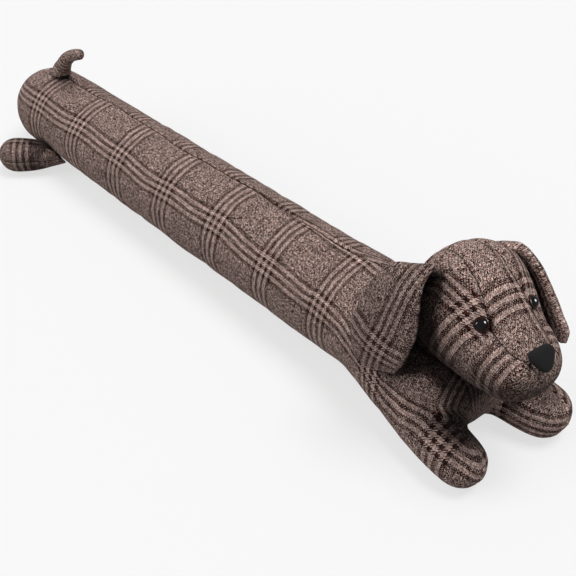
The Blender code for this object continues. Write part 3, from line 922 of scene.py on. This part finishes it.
# The tail is a little straighter and fuller than the plain solid. Each row goes from root to tip.
tailPlan = {
    "route": ((0.030, 0.006, 0.090), (0.036, 0.006, 0.1135), (0.050, 0.006, 0.139),
              (0.073, 0.006, 0.1595), (0.096, 0.006, 0.170)),
    "forwards": (0, 0.001, 0.003, 0.002, 0.003),
    "upwards": (0, 0.002, 0.003, 0.003, 0.004),
    "fuller": (1.30, 1.18, 1.06, 1.06, 1.10),
}
tail = copyOf("dogTail", "tail", woolCloth)
remeshed(tail, 0.0018, 5)
filled(tail, np.zeros(len(tail.data.vertices)), 3.0, 0.0, 0.0008)
finer(tail)
where = points(tail)
route = np.array(tailPlan["route"])
route[:, 0] += hips
_, along = nearLine(where, route)
lengths = np.concatenate([[0], np.cumsum(np.linalg.norm(np.diff(route, axis=0), axis=1))])
axis = np.stack([np.interp(along, lengths, route[:, i]) for i in range(3)], axis=1)
fuller = np.interp(along, lengths, tailPlan["fuller"])
where = axis + (where - axis) * fuller[:, None]
where[:, 0] += np.interp(along, lengths, tailPlan["forwards"])
where[:, 2] += np.interp(along, lengths, tailPlan["upwards"])
placed(tail, where + normals(tail) * (0.0005 * lumps(where, 0.010, 7))[:, None])


def tailChart(where, panels, middles):
    u = where[:, 2] - 0.125 + 0.8 * (where[:, 0] - hips - 0.030) + plainAlong
    v = where[:, 1] * 1.4 + 0.040
    return np.stack([u, v], axis=1)


# Painted shade where the dog closes off the light, as on the other pieces
covered(tail, onePanel, tailChart, np.full(len(where), 0.05))
sewnOn(bodySkin, "body")
sewnOn(headSkin, "head")
sewnOn(tail, "tail")
print("Limbs and tail filled")

# Eyes: polished black acrylic domes on a dark amber rim, the only shiny thing on the dog
eyes = {
    "radius": 0.0063,
    "flatness": 0.80,
    "proud": 0.0010,
    "rimWide": 0.0011,
    "rimOut": 0.0004,
    "rimProud": 0.0006,
    "black": "030202",
    "amber": "3A1A0C",
}


def eyeMaterials():
    black, _, shader = newMaterial("Black acrylic")
    shader.inputs["Base Color"].default_value = fromHex(eyes["black"])
    shader.inputs["Roughness"].default_value = 0.05
    shader.inputs["IOR"].default_value = 1.49
    amber, _, shader = newMaterial("Amber acrylic")
    shader.inputs["Base Color"].default_value = fromHex(eyes["amber"])
    shader.inputs["Roughness"].default_value = 0.18
    shader.inputs["IOR"].default_value = 1.49
    return black, amber


blackEye, amberEye = eyeMaterials()
skin = KDTree(len(headSkin.data.vertices))
for vert in headSkin.data.vertices:
    skin.insert(vert.co, vert.index)
skin.balance()
for name, side in (("right", -1), ("left", 1)):
    low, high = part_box("eye_" + name)
    middle = (low + high) / 2
    _, index, _ = skin.find(middle)
    near = [headSkin.data.vertices[i] for _, i, _ in skin.find_range(middle, 0.012)]
    facing = sum((vert.normal for vert in near), Vector()).normalized()
    seat = headSkin.data.vertices[index].co
    turned = facing.to_track_quat("Z", "Y").to_matrix().to_4x4()
    dome = bmesh.new()
    bmesh.ops.create_uvsphere(dome, u_segments=48, v_segments=32, radius=eyes["radius"])
    bmesh.ops.scale(dome, vec=(1, 1, eyes["flatness"]), verts=dome.verts[:])
    place = Matrix.Translation(seat + facing * eyes["proud"]) @ turned
    bmesh.ops.transform(dome, matrix=place, verts=dome.verts[:])
    eye = newMesh("dogEye_" + name, dome, blackEye)
    eye.data.shade_smooth()
    ring = bmesh.new()
    outline = bmesh.ops.create_circle(ring, segments=12, radius=eyes["rimWide"])["verts"]
    bmesh.ops.rotate(ring, verts=outline, cent=(0, 0, 0), matrix=Matrix.Rotation(math.pi / 2, 3, "X"))
    bmesh.ops.translate(ring, verts=outline, vec=(eyes["radius"] + eyes["rimOut"], 0, 0))
    bmesh.ops.spin(ring, geom=ring.verts[:] + ring.edges[:], cent=(0, 0, 0), axis=(0, 0, 1),
                   angle=2 * math.pi, steps=48, use_merge=True)
    bmesh.ops.remove_doubles(ring, verts=ring.verts[:], dist=0.00001)
    bmesh.ops.recalc_face_normals(ring, faces=ring.faces[:])
    place = Matrix.Translation(seat + facing * eyes["rimProud"]) @ turned
    bmesh.ops.transform(ring, matrix=place, verts=ring.verts[:])
    rim = newMesh("dogEyeRim_" + name, ring, amberEye)
    rim.data.shade_smooth()
    for piece in (eye, rim):
        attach(piece, "root")
    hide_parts("eye_" + name)
print("Eyes set")

# Nose: a small padded triangle of matt black cotton twill, which takes almost no light
noseCloth = {"black": "242424", "grainSize": 0.625}  # the grain in millimetres
nose, tree, shader = newMaterial("Black cotton twill")
place = addNode(tree, "TexCoord", {}, {})["Object"]
grain = addNode(tree, "TexNoise", {}, {"Vector": place, "Scale": 1000 / noseCloth["grainSize"]})[0]
bump = addNode(tree, "Bump", {}, {"Strength": 0.4, "Distance": 0.0003, "Height": grain})[0]
tree.links.new(bump, shader.inputs["Normal"])
shader.inputs["Base Color"].default_value = fromHex(noseCloth["black"])
shader.inputs["Roughness"].default_value = 0.9
shader.inputs["Specular IOR Level"].default_value = 0.05
shader.inputs["Sheen Weight"].default_value = 0.05
nosePad = copyOf("dogNose", "nose", nose)
remeshed(nosePad, 0.0010, 3)
finer(nosePad)
nosePad.data.shade_smooth()
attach(nosePad, "root")
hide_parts("nose")
print("Nose set")

# Studio: white floor, a wide soft light from behind and above, a weaker one in front, and two windows
studio = {
    "floor": "909090",
    "floorGlow": 0.66,
    "floorSize": 40,
    "roomLight": 0.30,
    # Direction it comes from, strength and spread in degrees
    "Ceiling light": ((0.40, 0.40, 1.9), 1.75, 30),
    "Front light": ((-0.65, -1.0, 0.70), 1.16, 50),
    # Place, target, width and height, and power
    "Window right": ((1.35, 0.82, 1.21), (0.43, 0, 0.2), (0.8, 0.8), 44),
    "Window left": ((-0.75, -0.95, 0.45), (0.43, 0, 0.2), (0.3, 0.9), 22),
}


# A wide, even light, like a whole bright ceiling or wall
def softSun(name):
    source, strength, spread = studio[name]
    light = bpy.data.lights.new(name, "SUN")
    light.angle = math.radians(spread)
    light.energy = strength
    lamp = bpy.data.objects.new(name, light)
    lamp.rotation_euler = (-Vector(source)).to_track_quat("-Z", "Y").to_euler()
    lamp.visible_glossy = False
    bpy.context.scene.collection.objects.link(lamp)


# A window shows only as a bright spot in the eyes
def softbox(name):
    place, target, size, power = studio[name]
    light = bpy.data.lights.new(name, "AREA")
    light.shape = "RECTANGLE"
    light.size, light.size_y = size
    light.energy = power
    lamp = bpy.data.objects.new(name, light)
    lamp.location = place
    lamp.rotation_euler = (Vector(target) - Vector(place)).to_track_quat("-Z", "Y").to_euler()
    lamp.visible_diffuse = False
    bpy.context.scene.collection.objects.link(lamp)


# White floor paint, matt. Its glow stands in for the light of a large bright room, so that it stays white.
floorPaint, _, shader = newMaterial("White floor paint")
shader.inputs["Base Color"].default_value = fromHex(studio["floor"])
shader.inputs["Roughness"].default_value = 0.9
shader.inputs["Specular IOR Level"].default_value = 0.0
shader.inputs["Emission Color"].default_value = (1, 1, 1, 1)
shader.inputs["Emission Strength"].default_value = studio["floorGlow"]
ground = bmesh.new()
bmesh.ops.create_grid(ground, x_segments=1, y_segments=1, size=studio["floorSize"])
floor = newMesh("Floor", ground, floorPaint)
floor.visible_diffuse = False
floor.visible_glossy = False

softSun("Ceiling light")
softSun("Front light")
softbox("Window right")
softbox("Window left")

world = bpy.data.worlds.new("Studio")
bpy.context.scene.world = world
world.use_nodes = True
world.node_tree.nodes["Background"].inputs[0].default_value = (1, 1, 1, 1)
world.node_tree.nodes["Background"].inputs[1].default_value = studio["roomLight"]
print("Studio lit")

# Camera, solved from the photo: the focal length is in pixels of a 576 pixel frame
view = {
    "focal": 980.3,
    "frame": 576,
    "sensor": 36,
    "place": (0.8011, -0.6434, 0.8437),
    "across": (0.68545, 0.72812, 0.00017),
    "upward": (-0.48112, 0.45275, 0.75069),
    "forward": (-0.54651, 0.51465, -0.66065),
}
lens = bpy.data.cameras.new("Camera")
lens.sensor_width = view["sensor"]
lens.lens = view["sensor"] * view["focal"] / view["frame"]
camera = bpy.data.objects.new("Camera", lens)
pose = Matrix((view["across"], view["upward"], -Vector(view["forward"]))).transposed().to_4x4()
pose.translation = view["place"]
camera.matrix_world = pose
bpy.context.scene.collection.objects.link(camera)
bpy.context.scene.camera = camera
bpy.context.scene.view_settings.view_transform = "Standard"
